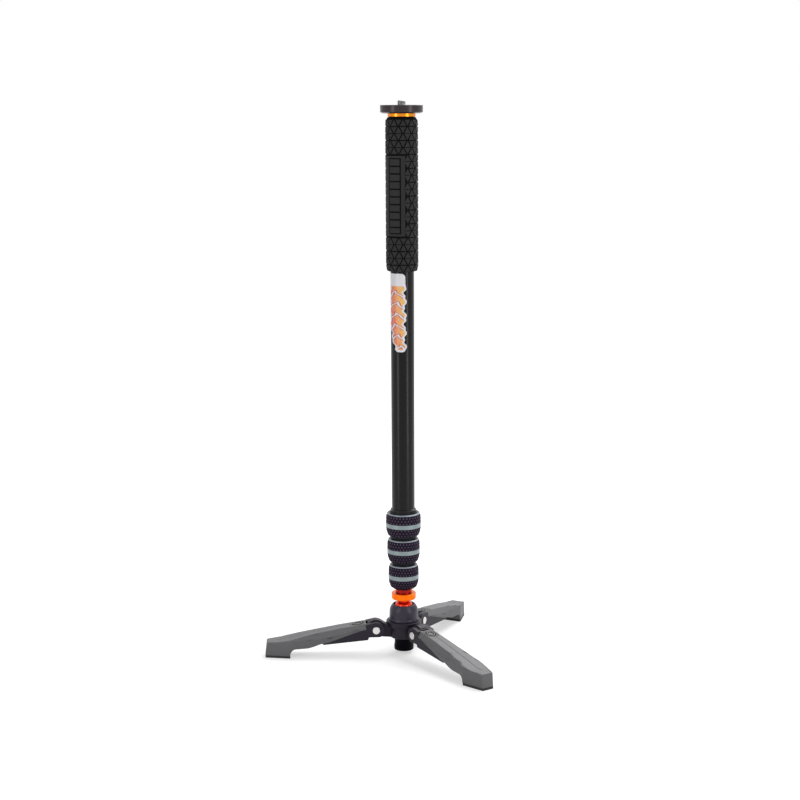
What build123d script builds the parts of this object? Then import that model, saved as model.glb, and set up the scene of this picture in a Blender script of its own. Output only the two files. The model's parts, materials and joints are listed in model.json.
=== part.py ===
# Camera monopod: a column of four telescoping tubes with three twist locks,
# standing on a ball joint in a hub with three folding legs.
#
# Millimetres. The floor is Z = 0 and the column stands on the Z axis, so the
# origin is the point of the floor under the column. A viewer in front looks
# along +Y and has +X on the right.

import os
from math import cos, radians, sin, sqrt

from build123d import *

os.makedirs("parts", exist_ok=True)

# Fits that the whole monopod shares
running_clearance = 0.06
loose_clearance = 0.3
overrun = 40.0

# Tubes: each one is a step thinner than the one that it slides in
tube_count = 4
upper_tube_radius = 14.5
tube_step = 1.5
tube_wall = 1.0
guide_length = 40.0
guide_inset = 1.0
guide_split = 1.2
tube_head_gap = 4.0
tube_head_stagger = 5.0

# Top of the column
plate_top_height = 688.7
plate_thickness = 10.1
plate_radius = 26.0
plate_under_chamfer = 1.5
plate_under_setback = 3.0
plate_edge = 0.5
stud_radius = 4.7625
stud_reach = 5.5
stud_shank_radius = 3.175
stud_depth = 20.0
stud_chamfer = 0.8
stud_relief_radius = 4.4
stud_relief_depth = 1.5
stud_bore_radius = 5.0
stud_key_flats = 4.0
stud_key_depth = 3.0
collar_radius = 17.0
collar_height = 4.1
collar_edge = 0.5
plug_length = 14.6

# Hand grip
grip_top_gap = 0.2
grip_length = 186.9
grip_radius = 20.0
grip_end_radius = 17.4
grip_end_length = 7.0
grip_groove_drop = 11.1
grip_groove_pitch = 18.3
grip_groove_count = 10
grip_groove_width = 1.4
grip_groove_floor = 0.8
grip_groove_depth = 1.0

# Twist locks, which stand one above the other when the column is closed
lock_top_height = 183.3
lock_pitch = 33.7
nut_height = 31.2
nut_reach = 7.6
nut_top_ring = 1.7
nut_upper_band = 11.0
nut_middle_band = 5.3
nut_lower_band = 10.5
nut_crown_drop = 1.3
nut_crown_run = 4.0
nut_foot_reach = 6.6
nut_foot_taper = 3.2
nut_edge = 0.7
nut_middle_proud = 0.15
band_thickness = 1.8
thread_reach = 1.65
thread_length = 14.0
ferrule_lip = 1.0
ferrule_lip_gap = 0.35
collet_reach = 2.84
collet_body = 9.4
collet_cone_drop = 5.0
collet_tip_reach = 0.98
collet_split = 1.6
collet_slot_count = 4
nut_exit_reach = 0.6
collar_ring_reach = 2.6
collar_ring_height = 1.2

# Rings of the ferrule that shows above the top lock
show_ring_gap = 0.3
show_ring_height = 1.8
show_groove_height = 0.6
show_groove_reach = 1.0
small_ring_height = 1.9
small_ring_reach = 1.5
ferrule_head_taper = 0.7

# Ball joint and the socket that screws onto its stud
ball_height = 56.5
ball_radius = 13.0
neck_radius = 7.0
neck_top_height = 70.65
ring_bottom_height = 70.95
ring_height = 7.85
ring_radius = 15.5
ring_edge = 0.6
socket_radius = 10.2
socket_height = 4.5
socket_spigot = 19.4
socket_thread_depth = 13.0
stem_stud_foot = 52.0
stem_stud_top = 90.0

# Dome collar that clamps the ball
dome_bottom_height = 43.0
dome_top_height = 63.7
dome_skirt_radius = 18.9
dome_skirt_height = 1.6
dome_lower_radius = 18.45
dome_shoulder_height = 55.9
dome_shoulder_radius = 18.1
dome_bulge_height = 60.5
dome_bulge_radius = 16.55
dome_rim_radius = 14.2
dome_mouth_radius = 12.9
dome_lip_height = 60.56
dome_step_height = 55.0
seat_clearance = 0.05
upper_seat_radius = 14.6
upper_seat_bottom = 57.5
lower_seat_radius = 13.5
lower_seat_bottom = 41.0
lower_seat_top = 51.5

# Hub
hub_bottom_height = 21.0
hub_body_radius = 17.9
hub_body_top = 34.0
hub_bowl_radius = 20.6
hub_bowl_foot = 35.0
hub_bowl_top = 38.4
flange_radius = 22.35
flange_bottom = 39.4
flange_top = 42.6
hub_edge = 0.6
spigot_radius = 16.6
spigot_top = 54.4
hub_bore_radius = 13.58
hub_floor = 38.0
disc_spring_inner = 7.2
disc_spring_thickness = 0.8
disc_spring_rise = 0.65

# Barrel under the hub, clear of the floor
barrel_radius = 11.9
barrel_spigot_radius = 8.0
barrel_spigot_length = 12.0
barrel_core_radius = 10.4
cap_bottom_height = 3.9
cap_height = 6.6
cap_radius = 12.4
cap_floor = 1.6
cap_round = 1.4

# Legs: distances run out from the column's axis, before the leg is turned
first_leg_angle = 184.6
leg_names = ("left", "front", "back")
pin_distance = 36.0
pin_height = 32.5
pin_radius = 3.0
pin_head_radius = 4.65
pin_head_reach = 13.1
pin_head_sink = 1.0
pin_head_edge = 0.4
pin_screw_radius = 2.0
pin_screw_length = 5.0
nut_barrel_length = 5.5
pin_head_clearance = 0.1
cheek_half_width = 12.0
tongue_half_width = 5.0
eye_radius = 10.0
eye_floor = 8.8
leg_slope = 9.1

# Tongue of the hub, round the hinge pin
rim_radius = 10.2
tongue_head_radius = 12.0
shoulder_angle = 52.0
head_end_angle = 128.0
tongue_bottom_height = 23.2
tongue_top_height = 38.7
tongue_root_distance = 15.0
tongue_root_height = 21.3
tongue_knee_distance = 23.5
notch_radius = 1.6
notch_angles = (19.0, -6.0, -36.0)

# Leg cover and the foot at its end
cover_start = 48.5
cover_top_height = 41.0
cover_wall = 2.0
cover_roof_pinch = 1.2
cover_bevel_pinch = 1.0
heel_distance = 145.2
foot_length = 31.4
heel_half_width = 15.4
toe_half_width = 8.0
toe_lean = 2.0
sole_thickness = 2.6
sole_corner = 1.2
sole_peg_radius = 2.5
sole_peg_height = 3.0

# Stations of the cover, as shares of its length, of its height at the hinge
# and of its half width at the heel: along, ridge height, ridge width,
# bevel height, side width
station_shares = (
    (0.000, 1.000, 0.558, 0.851, 0.818),
    (0.248, 0.888, 0.597, 0.715, 0.877),
    (0.430, 0.785, 0.649, 0.598, 0.922),
    (0.627, 0.666, 0.747, 0.532, 0.968),
    (0.763, 0.566, 0.870, 0.517, 1.000),
    (0.848, 0.512, 0.792, 0.498, 0.825),
    (1.000, 0.473, 0.494, 0.461, 0.519),
)
# Underside of the cover from the hinge to the heel: along, height
underside_shares = (
    (0.000, 0.849),
    (0.390, 0.446),
    (0.457, 0.415),
    (0.521, 0.346),
    (0.576, 0.300),
    (0.694, 0.283),
)
peg_place_shares = (0.25, 0.72)

# Black core of the leg, which reaches to one of the cover's first stations
core_station_count = 3
core_side_inset = 0.6
core_step_distance = 45.2
core_step_run = 1.4
core_bottom_start = 20.2
core_bottom_end = 16.0
core_roof_reach = 9.4
slot_end = 14.4

# Release button, pawl and spring, measured along and across the leg's slope
# from the hinge pin
button_place = 21.6
button_half_length = 7.4
button_half_width = 6.0
button_top = 10.9
button_flange_top = 8.2
button_flange_bottom = 7.4
button_flange_reach = 0.7
button_dimple_share = 0.55
button_dimple_depth = 0.6
button_edge = 0.4
button_travel = 2.0
wedge_back = 16.6
wedge_tip = 0.6
wedge_tip_width = 1.0
wedge_half_width = 2.5
pawl_half_width = 4.6
pawl_bottom = 0.5
pawl_top = 5.0
pawl_end = 27.0
pawl_nose_top = 10.0
pawl_nose_back = 8.6
pawl_nose_waist = 8.0
pawl_neck = 11.6
pawl_nose_front = 6.3
pawl_nose_low_angle = 15.0
pawl_nose_high_angle = 58.5
pawl_window_clearance = 0.4
channel_clearance = 0.2
channel_end = 36.0
spring_outer_radius = 1.9
spring_inner_radius = 1.3

# Derived sizes of the column
tube_radii = [upper_tube_radius - tube_step * step for step in range(tube_count)]
plate_bottom_height = plate_top_height - plate_thickness
plug_bottom_height = plate_bottom_height - plug_length
collar_bottom_height = plate_bottom_height - collar_height
grip_top_height = collar_bottom_height - grip_top_gap
grip_bottom_height = grip_top_height - grip_length
tube_heads = [plate_bottom_height] + [
    plug_bottom_height - tube_head_gap - tube_head_stagger * step
    for step in range(tube_count - 1)
]
lock_tops = [lock_top_height - lock_pitch * step for step in range(tube_count - 1)]
tube_seats = [top - thread_length + ferrule_lip for top in lock_tops]
socket_bottom_height = ring_bottom_height + ring_height + loose_clearance
tube_seats.append(socket_bottom_height + socket_height)
bearing_radius = ball_radius + seat_clearance
cap_top_height = cap_bottom_height + cap_height
core_foot = cap_bottom_height + cap_floor

# Derived sizes of the legs
leg_angles = [
    first_leg_angle + 360 / len(leg_names) * step for step, name in enumerate(leg_names)
]
toe_distance = heel_distance + foot_length
cover_length = toe_distance - cover_start
wedge_reach = wedge_back + wedge_tip_width + (button_flange_bottom - wedge_tip)
slope = radians(leg_slope)
side_plane = Plane.XZ
lean_plane = Plane(
    origin=(pin_distance, 0, pin_height),
    x_dir=(cos(slope), 0, -sin(slope)),
    z_dir=(0, -1, 0),
)


def save(piece, name):
    """Label a finished piece and write it."""
    piece.label = name
    export_step(piece, f"parts/{name}.step")


def at_angle(radius, angle, centre=(0, 0)):
    """Point at a radius and an angle in degrees round a centre."""
    return (
        centre[0] + radius * cos(radians(angle)),
        centre[1] + radius * sin(radians(angle)),
    )


def ball_offset(radius, height):
    """Distance from the axis of a ball surface at a height."""
    return sqrt(radius**2 - (height - ball_height) ** 2)


def deck_plane(height):
    """Plane along the leg's slope, at a height over the hinge pin."""
    return Plane(
        origin=lean_plane.from_local_coords((0, height, 0)),
        x_dir=lean_plane.x_dir,
        z_dir=lean_plane.y_dir,
    )


def pin_plane(reach):
    """Plane across the hinge pin, at a distance from the leg's middle."""
    return Plane(origin=(pin_distance, reach, pin_height), x_dir=(1, 0, 0), z_dir=(0, 1, 0))


# Camera screw: the wide thread stands up, the narrow one is in the plug, and
# a key socket turns it
with BuildPart() as camera_screw:
    with BuildSketch(Plane.XY.offset(plate_top_height - stud_depth)):
        Circle(stud_shank_radius)
    extrude(amount=stud_depth)
    with BuildSketch(Plane.XY.offset(plate_top_height - stud_relief_depth)):
        Circle(stud_relief_radius)
    extrude(amount=stud_relief_depth)
    with BuildSketch(Plane.XY.offset(plate_top_height)):
        Circle(stud_radius)
    extrude(amount=stud_reach)
    chamfer(camera_screw.edges().group_by(Axis.Z)[-1], stud_chamfer)
    with BuildSketch(Plane.XY.offset(plate_top_height + stud_reach)):
        RegularPolygon(stud_key_flats / 2, 6, major_radius=False)
    extrude(amount=-stud_key_depth, mode=Mode.SUBTRACT)
save(camera_screw.part, "camera_screw")

# Round plate that the camera or the head sits on
with BuildPart() as top_plate:
    with BuildSketch(Plane.XZ):
        Polygon(
            (stud_shank_radius, plate_bottom_height),
            (plate_radius - plate_under_setback, plate_bottom_height),
            (plate_radius, plate_bottom_height + plate_under_chamfer),
            (plate_radius, plate_top_height - plate_edge),
            (plate_radius - plate_edge, plate_top_height),
            (stud_bore_radius, plate_top_height),
            (stud_bore_radius, plate_top_height - stud_relief_depth),
            (stud_shank_radius, plate_top_height - stud_relief_depth),
        )
    revolve(axis=Axis.Z)
save(top_plate.part, "top_plate")

# Coloured collar round the top of the upper tube
with BuildPart() as plate_collar:
    with BuildSketch(Plane.XZ):
        Polygon(
            (upper_tube_radius, collar_bottom_height),
            (collar_radius - collar_edge, collar_bottom_height),
            (collar_radius, collar_bottom_height + collar_edge),
            (collar_radius, plate_bottom_height),
            (upper_tube_radius, plate_bottom_height),
        )
    revolve(axis=Axis.Z)
save(plate_collar.part, "plate_collar")

# Plug inside the top of the upper tube, which holds the camera screw
with BuildPart() as top_plug:
    with BuildSketch(Plane.XY.offset(plug_bottom_height)):
        Circle(upper_tube_radius - tube_wall)
        Circle(stud_shank_radius, mode=Mode.SUBTRACT)
    extrude(amount=plug_length)
save(top_plug.part, "top_plug")

# Hand grip, a thick sleeve with rounded ends
with BuildPart() as hand_grip:
    with BuildSketch(Plane.XZ):
        with BuildLine():
            Line(
                (upper_tube_radius, grip_bottom_height),
                (grip_end_radius, grip_bottom_height),
            )
            lower_end = TangentArc(
                (grip_radius, grip_bottom_height + grip_end_length),
                (grip_end_radius, grip_bottom_height),
                tangent=(0, -1),
                tangent_from_first=True,
            )
            Line(
                (grip_radius, grip_bottom_height + grip_end_length),
                (grip_radius, grip_top_height - grip_end_length),
            )
            upper_end = TangentArc(
                (grip_radius, grip_top_height - grip_end_length),
                (grip_end_radius, grip_top_height),
                tangent=(0, 1),
            )
            Line((grip_end_radius, grip_top_height), (upper_tube_radius, grip_top_height))
            Line((upper_tube_radius, grip_top_height), (upper_tube_radius, grip_bottom_height))
        make_face()
    revolve(axis=Axis.Z)
    for step in range(grip_groove_count):
        groove = grip_top_height - grip_groove_drop - grip_groove_pitch * step
        groove_floor = grip_radius - grip_groove_depth
        with BuildSketch(Plane.XZ):
            Polygon(
                (groove_floor, groove - grip_groove_floor / 2),
                (grip_radius, groove - grip_groove_width / 2),
                (grip_radius + grip_groove_depth, groove - grip_groove_width / 2),
                (grip_radius + grip_groove_depth, groove + grip_groove_width / 2),
                (grip_radius, groove + grip_groove_width / 2),
                (groove_floor, groove + grip_groove_floor / 2),
            )
        revolve(axis=Axis.Z, mode=Mode.SUBTRACT)
save(hand_grip.part, "hand_grip")

# Four telescoping tubes, the widest at the top
for number, (radius, head, seat) in enumerate(zip(tube_radii, tube_heads, tube_seats), 1):
    with BuildPart() as tube:
        with BuildSketch(Plane.XY.offset(seat)):
            Circle(radius)
            Circle(radius - tube_wall, mode=Mode.SUBTRACT)
        extrude(amount=head - seat)
    save(tube.part, f"tube_{number}")

# Two half-round guides on the head of each inner tube, which keep it straight
for number, (radius, head) in enumerate(zip(tube_radii[1:], tube_heads[1:]), 2):
    with BuildPart() as guides:
        with BuildSketch(Plane.XY.offset(head - guide_inset)):
            Circle(radius + tube_step - tube_wall - running_clearance)
            Circle(radius, mode=Mode.SUBTRACT)
            Rectangle(guide_split, overrun * 2, mode=Mode.SUBTRACT)
        extrude(amount=-guide_length)
    save(guides.part, f"tube_{number}_guides")


def lock_ferrule(outer, inner, top, shown):
    """Threaded ferrule bonded to the foot of a tube, with the rings over its nut."""
    thread = outer + thread_reach
    foot = top - thread_length
    lip = foot + ferrule_lip
    profile = [
        (inner + ferrule_lip_gap, foot),
        (thread, foot),
    ]
    if shown:
        ring = top + show_ring_gap
        groove = ring + show_ring_height
        small = groove + show_groove_height
        head = small + small_ring_height
        profile += [
            (thread, ring),
            (outer + collar_ring_reach, ring),
            (outer + collar_ring_reach, groove),
            (outer + show_groove_reach, groove),
            (outer + show_groove_reach, small),
            (outer + small_ring_reach, small),
            (outer + small_ring_reach, head),
            (outer, head + ferrule_head_taper),
        ]
    else:
        ring = top + loose_clearance
        profile += [
            (thread, ring),
            (outer + collar_ring_reach, ring),
            (outer + collar_ring_reach, ring + collar_ring_height),
            (outer, ring + collar_ring_height),
        ]
    profile += [(outer, lip), (inner + ferrule_lip_gap, lip)]
    with BuildPart() as ferrule:
        with BuildSketch(Plane.XZ):
            Polygon(*profile)
        revolve(axis=Axis.Z)
    return ferrule.part


def lock_nut(outer, inner, top):
    """Turning nut of a lock: bands for the rubber, a thread bore and a cone."""
    full = outer + nut_reach
    crown = full - nut_crown_drop
    core = full - band_thickness
    foot = inner + nut_foot_reach
    upper = top - nut_top_ring
    middle = upper - nut_upper_band
    lower = middle - nut_middle_band
    end = lower - nut_lower_band
    bottom = top - nut_height
    bore = outer + thread_reach + running_clearance
    chamber = inner + collet_reach + running_clearance
    chamber_top = top - thread_length - running_clearance
    cone_top = chamber_top - collet_body
    tip = inner + collet_tip_reach + running_clearance
    cone_slope = (chamber - tip) / collet_cone_drop
    exit_bore = inner + nut_exit_reach
    cone_bottom = cone_top - (chamber - exit_bore) / cone_slope
    with BuildPart() as nut:
        with BuildSketch(Plane.XZ):
            with BuildLine():
                Polyline(
                    (foot - band_thickness, end),
                    (foot, end),
                    (foot - nut_foot_taper, bottom),
                    (exit_bore, bottom),
                    (exit_bore, cone_bottom),
                    (chamber, cone_top),
                    (chamber, chamber_top),
                    (bore, chamber_top),
                    (bore, top),
                    (crown - nut_edge, top),
                    (crown, top - nut_edge),
                    (crown, upper),
                    (core, upper),
                    (core, middle),
                    (full + nut_middle_proud, middle),
                    (full + nut_middle_proud, lower),
                    (core, lower),
                )
                TangentArc((core, lower), (foot - band_thickness, end), tangent=(0, -1))
            make_face()
        revolve(axis=Axis.Z)
    return nut.part


def lock_bands(outer, inner, top):
    """Two rubber bands of a lock, seated in the recesses of its nut."""
    full = outer + nut_reach
    crown = full - nut_crown_drop
    core = full - band_thickness
    foot = inner + nut_foot_reach
    upper = top - nut_top_ring
    middle = upper - nut_upper_band
    lower = middle - nut_middle_band
    end = lower - nut_lower_band
    with BuildPart() as bands:
        with BuildSketch(Plane.XZ):
            with BuildLine():
                TangentArc((full, upper - nut_crown_run), (crown, upper), tangent=(0, 1))
                Polyline(
                    (crown, upper),
                    (core, upper),
                    (core, middle),
                    (full, middle),
                    (full, upper - nut_crown_run),
                )
            make_face()
            with BuildLine():
                TangentArc((full, lower), (foot, end), tangent=(0, -1))
                Line((foot, end), (foot - band_thickness, end))
                TangentArc((core, lower), (foot - band_thickness, end), tangent=(0, -1))
                Line((core, lower), (full, lower))
            make_face()
        revolve(axis=Axis.Z)
    return bands.part


def lock_collet(inner, top):
    """Slotted cone that the nut draws tight on the inner tube."""
    bore = inner + running_clearance
    body = inner + collet_reach
    head = top - thread_length - running_clearance
    cone = head - collet_body
    with BuildPart() as collet:
        with BuildSketch(Plane.XZ):
            Polygon(
                (bore, head),
                (body, head),
                (body, cone),
                (inner + collet_tip_reach, cone - collet_cone_drop),
                (bore, cone - collet_cone_drop),
            )
        revolve(axis=Axis.Z)
        with BuildSketch(Plane.XY.offset(cone)):
            with PolarLocations(body, collet_slot_count):
                Rectangle(body, collet_split)
        extrude(amount=-overrun, mode=Mode.SUBTRACT)
        with BuildSketch(Plane.XY.offset(head)):
            with Locations((body, 0)):
                Rectangle(body, collet_split)
        extrude(amount=-overrun, mode=Mode.SUBTRACT)
    return collet.part


# Three twist locks, the widest at the top
for number, top in enumerate(lock_tops, 1):
    outer_tube = tube_radii[number - 1]
    inner_tube = tube_radii[number]
    save(lock_ferrule(outer_tube, inner_tube, top, number == 1), f"lock_{number}_ferrule")
    save(lock_nut(outer_tube, inner_tube, top), f"lock_{number}_nut")
    save(lock_bands(outer_tube, inner_tube, top), f"lock_{number}_grip")
    save(lock_collet(inner_tube, top), f"lock_{number}_collet")

# Threaded socket in the foot of the thinnest tube
with BuildPart() as foot_socket:
    socket_top_height = socket_bottom_height + socket_height
    with BuildSketch(Plane.XY.offset(socket_bottom_height)):
        Circle(socket_radius)
    extrude(amount=socket_height)
    with BuildSketch(Plane.XY.offset(socket_top_height)):
        Circle(tube_radii[-1] - tube_wall)
    extrude(amount=socket_spigot)
    with BuildSketch(Plane.XY.offset(socket_bottom_height)):
        Circle(stud_radius + running_clearance)
    extrude(amount=socket_thread_depth, mode=Mode.SUBTRACT)
save(foot_socket.part, "foot_socket")

# Ring that locks the column's turning against the ball's neck
with BuildPart() as lock_ring:
    ring_top_height = ring_bottom_height + ring_height
    with BuildSketch(Plane.XZ):
        Polygon(
            (stud_radius + running_clearance, ring_bottom_height),
            (ring_radius - ring_edge, ring_bottom_height),
            (ring_radius, ring_bottom_height + ring_edge),
            (ring_radius, ring_top_height - ring_edge),
            (ring_radius - ring_edge, ring_top_height),
            (stud_radius + running_clearance, ring_top_height),
        )
    revolve(axis=Axis.Z)
save(lock_ring.part, "lock_ring")

# Steel stud that joins the column to the ball
with BuildPart() as stem_stud:
    with BuildSketch(Plane.XY.offset(stem_stud_foot)):
        Circle(stud_radius)
    extrude(amount=stem_stud_top - stem_stud_foot)
    chamfer(stem_stud.edges().group_by(Axis.Z)[-1], stud_chamfer)
save(stem_stud.part, "stem_stud")

# Ball with its neck
with BuildPart() as tilt_ball:
    neck_start = ball_height + sqrt(ball_radius**2 - neck_radius**2)
    with BuildSketch(Plane.XZ):
        with BuildLine():
            ThreePointArc(
                (0, ball_height - ball_radius),
                (ball_radius, ball_height),
                (neck_radius, neck_start),
            )
            Polyline(
                (neck_radius, neck_start),
                (neck_radius, neck_top_height),
                (stud_radius, neck_top_height),
                (stud_radius, stem_stud_foot),
                (0, stem_stud_foot),
                (0, ball_height - ball_radius),
            )
        make_face()
    revolve(axis=Axis.Z)
save(tilt_ball.part, "tilt_ball")

# Seat ring that the dome collar presses on the ball
with BuildPart() as upper_seat:
    upper_seat_top = dome_lip_height - running_clearance
    seat_middle = (upper_seat_bottom + upper_seat_top) / 2
    with BuildSketch(Plane.XZ):
        with BuildLine():
            ThreePointArc(
                (ball_offset(bearing_radius, upper_seat_bottom), upper_seat_bottom),
                (ball_offset(bearing_radius, seat_middle), seat_middle),
                (ball_offset(bearing_radius, upper_seat_top), upper_seat_top),
            )
            Polyline(
                (ball_offset(bearing_radius, upper_seat_top), upper_seat_top),
                (upper_seat_radius, upper_seat_top),
                (upper_seat_radius, upper_seat_bottom),
                (ball_offset(bearing_radius, upper_seat_bottom), upper_seat_bottom),
            )
        make_face()
    revolve(axis=Axis.Z)
save(upper_seat.part, "upper_seat")

# Dome collar: turned to clamp the ball
with BuildPart() as tilt_collar:
    skirt_bore = spigot_radius + running_clearance
    seat_bore = upper_seat_radius + running_clearance
    with BuildSketch(Plane.XZ):
        with BuildLine():
            Polyline(
                (dome_rim_radius, dome_top_height),
                (dome_mouth_radius, dome_top_height),
                (dome_mouth_radius, dome_lip_height),
                (seat_bore, dome_lip_height),
                (seat_bore, dome_step_height),
                (skirt_bore, dome_step_height),
                (skirt_bore, dome_bottom_height),
                (dome_skirt_radius, dome_bottom_height),
                (dome_skirt_radius, dome_bottom_height + dome_skirt_height),
                (dome_lower_radius, dome_bottom_height + 2 * dome_skirt_height),
                (dome_shoulder_radius, dome_shoulder_height),
            )
            ThreePointArc(
                (dome_shoulder_radius, dome_shoulder_height),
                (dome_bulge_radius, dome_bulge_height),
                (dome_rim_radius, dome_top_height),
            )
        make_face()
    revolve(axis=Axis.Z)
save(tilt_collar.part, "tilt_collar")

# Cup under the ball, which turns in the hub
with BuildPart() as lower_seat:
    cup_depth = ball_height - bearing_radius
    cup_middle = (cup_depth + lower_seat_top) / 2
    with BuildSketch(Plane.XZ):
        with BuildLine():
            ThreePointArc(
                (0, cup_depth),
                (ball_offset(bearing_radius, cup_middle), cup_middle),
                (ball_offset(bearing_radius, lower_seat_top), lower_seat_top),
            )
            Polyline(
                (ball_offset(bearing_radius, lower_seat_top), lower_seat_top),
                (lower_seat_radius, lower_seat_top),
                (lower_seat_radius, lower_seat_bottom),
                (0, lower_seat_bottom),
                (0, cup_depth),
            )
        make_face()
    revolve(axis=Axis.Z)
save(lower_seat.part, "lower_seat")

# Pair of disc springs that hold the cup against the ball
with BuildPart() as seat_springs:
    disc_outer = lower_seat_radius - loose_clearance
    disc_waist = hub_floor + disc_spring_rise
    with BuildSketch(Plane.XZ):
        Polygon(
            (disc_outer, hub_floor),
            (disc_outer, hub_floor + disc_spring_thickness),
            (disc_spring_inner, disc_waist + disc_spring_thickness),
            (disc_spring_inner, disc_waist),
        )
    revolve(axis=Axis.Z)
    with BuildSketch(Plane.XZ):
        Polygon(
            (disc_outer, disc_waist + disc_spring_rise + disc_spring_thickness),
            (disc_outer, disc_waist + disc_spring_rise + 2 * disc_spring_thickness),
            (disc_spring_inner, disc_waist + 2 * disc_spring_thickness),
            (disc_spring_inner, disc_waist + disc_spring_thickness),
        )
    revolve(axis=Axis.Z)
save(seat_springs.part, "seat_springs")

# Hub: body, flange, ball housing and a tongue for each leg
with BuildPart() as base_hub:
    with BuildSketch(Plane.XZ):
        Polygon(
            (0, hub_floor),
            (hub_bore_radius, hub_floor),
            (hub_bore_radius, spigot_top),
            (spigot_radius, spigot_top),
            (spigot_radius, flange_top),
            (flange_radius - hub_edge, flange_top),
            (flange_radius, flange_top - hub_edge),
            (flange_radius, flange_bottom),
            (flange_radius - hub_edge, hub_bowl_top),
            (hub_bowl_radius, hub_bowl_foot),
            (hub_body_radius, hub_body_top),
            (hub_body_radius, hub_bottom_height + hub_edge),
            (hub_body_radius - hub_edge, hub_bottom_height),
            (barrel_spigot_radius, hub_bottom_height),
            (barrel_spigot_radius, hub_bottom_height + barrel_spigot_length),
            (0, hub_bottom_height + barrel_spigot_length),
        )
    revolve(axis=Axis.Z)
    pin_centre = (pin_distance, pin_height)
    rim_run = sqrt(rim_radius**2 - (pin_height - tongue_bottom_height) ** 2)
    rim_start = (pin_distance + rim_run, tongue_bottom_height)
    for angle in leg_angles:
        outward = (cos(radians(angle)), sin(radians(angle)), 0)
        across = (sin(radians(angle)), -cos(radians(angle)), 0)
        tongue_plane = Plane(origin=(0, 0, 0), x_dir=outward, z_dir=across)
        with BuildSketch(tongue_plane):
            with BuildLine():
                Line((tongue_root_distance, tongue_root_height), rim_start)
                ThreePointArc(
                    rim_start,
                    at_angle(rim_radius, 0, pin_centre),
                    at_angle(rim_radius, shoulder_angle, pin_centre),
                )
                Line(
                    at_angle(rim_radius, shoulder_angle, pin_centre),
                    at_angle(tongue_head_radius, shoulder_angle, pin_centre),
                )
                ThreePointArc(
                    at_angle(tongue_head_radius, shoulder_angle, pin_centre),
                    at_angle(tongue_head_radius, 90, pin_centre),
                    at_angle(tongue_head_radius, head_end_angle, pin_centre),
                )
                Polyline(
                    at_angle(tongue_head_radius, head_end_angle, pin_centre),
                    (tongue_knee_distance, tongue_top_height),
                    (tongue_root_distance, tongue_top_height),
                    (tongue_root_distance, tongue_root_height),
                )
            make_face()
            with Locations(pin_centre):
                Circle(pin_radius + running_clearance, mode=Mode.SUBTRACT)
            for notch_angle in notch_angles:
                with Locations(at_angle(rim_radius, notch_angle, pin_centre)):
                    Circle(notch_radius, mode=Mode.SUBTRACT)
        extrude(amount=tongue_half_width, both=True)
save(base_hub.part, "base_hub")

# Barrel that screws into the hub from below
with BuildPart() as base_barrel:
    with BuildSketch(Plane.XZ):
        Polygon(
            (0, core_foot),
            (barrel_core_radius, core_foot),
            (barrel_core_radius, cap_top_height),
            (barrel_radius, cap_top_height),
            (barrel_radius, hub_bottom_height),
            (barrel_spigot_radius, hub_bottom_height),
            (barrel_spigot_radius, hub_bottom_height + barrel_spigot_length),
            (0, hub_bottom_height + barrel_spigot_length),
        )
    revolve(axis=Axis.Z)
save(base_barrel.part, "base_barrel")

# Rubber cap on the foot of the barrel
with BuildPart() as barrel_cap:
    with BuildSketch(Plane.XZ):
        Polygon(
            (0, cap_bottom_height),
            (cap_radius, cap_bottom_height),
            (cap_radius, cap_top_height),
            (barrel_core_radius, cap_top_height),
            (barrel_core_radius, core_foot),
            (0, core_foot),
        )
    revolve(axis=Axis.Z)
    fillet(barrel_cap.edges().group_by(Axis.Z)[0], cap_round)
save(barrel_cap.part, "barrel_cap")


def cover_distance(share):
    """Distance from the column's axis of a place along the cover."""
    return cover_start + share * cover_length


def cover_section(station, inset, floor):
    """Six corners of the cover's section at a station, drawn in by a wall."""
    ridge, ridge_width, bevel, side_width = station[1:]
    ridge_height = ridge * cover_top_height - inset
    ridge_reach = ridge_width * heel_half_width - inset * cover_roof_pinch / cover_wall
    bevel_height = bevel * cover_top_height - inset * cover_bevel_pinch / cover_wall
    side_reach = side_width * heel_half_width - inset
    return [
        (-side_reach, floor),
        (-side_reach, bevel_height),
        (-ridge_reach, ridge_height),
        (ridge_reach, ridge_height),
        (side_reach, bevel_height),
        (side_reach, floor),
    ]


# Space inside the cover that the core fills
core_stations = station_shares[:core_station_count]
core_end = cover_distance(core_stations[-1][0])
with BuildPart() as core_space:
    for station in core_stations:
        with BuildSketch(Plane.YZ.offset(cover_distance(station[0]))):
            Polygon(*cover_section(station, cover_wall, -overrun))
    loft(ruled=True)

# Space outside the cover's bevels, which the core stays out of
with BuildPart() as beside_cover:
    with BuildSketch(Plane.YZ.offset(cover_start)):
        Rectangle(overrun * 2, overrun * 4)
    extrude(amount=core_end - cover_start)
    for station in core_stations:
        with BuildSketch(Plane.YZ.offset(cover_distance(station[0]))):
            Polygon(*cover_section(station, 0, -overrun * 2))
    loft(ruled=True, mode=Mode.SUBTRACT)

# Two pegs that hold the sole in the foot
peg_places = [(heel_distance + foot_length * share, 0) for share in peg_place_shares]

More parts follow.
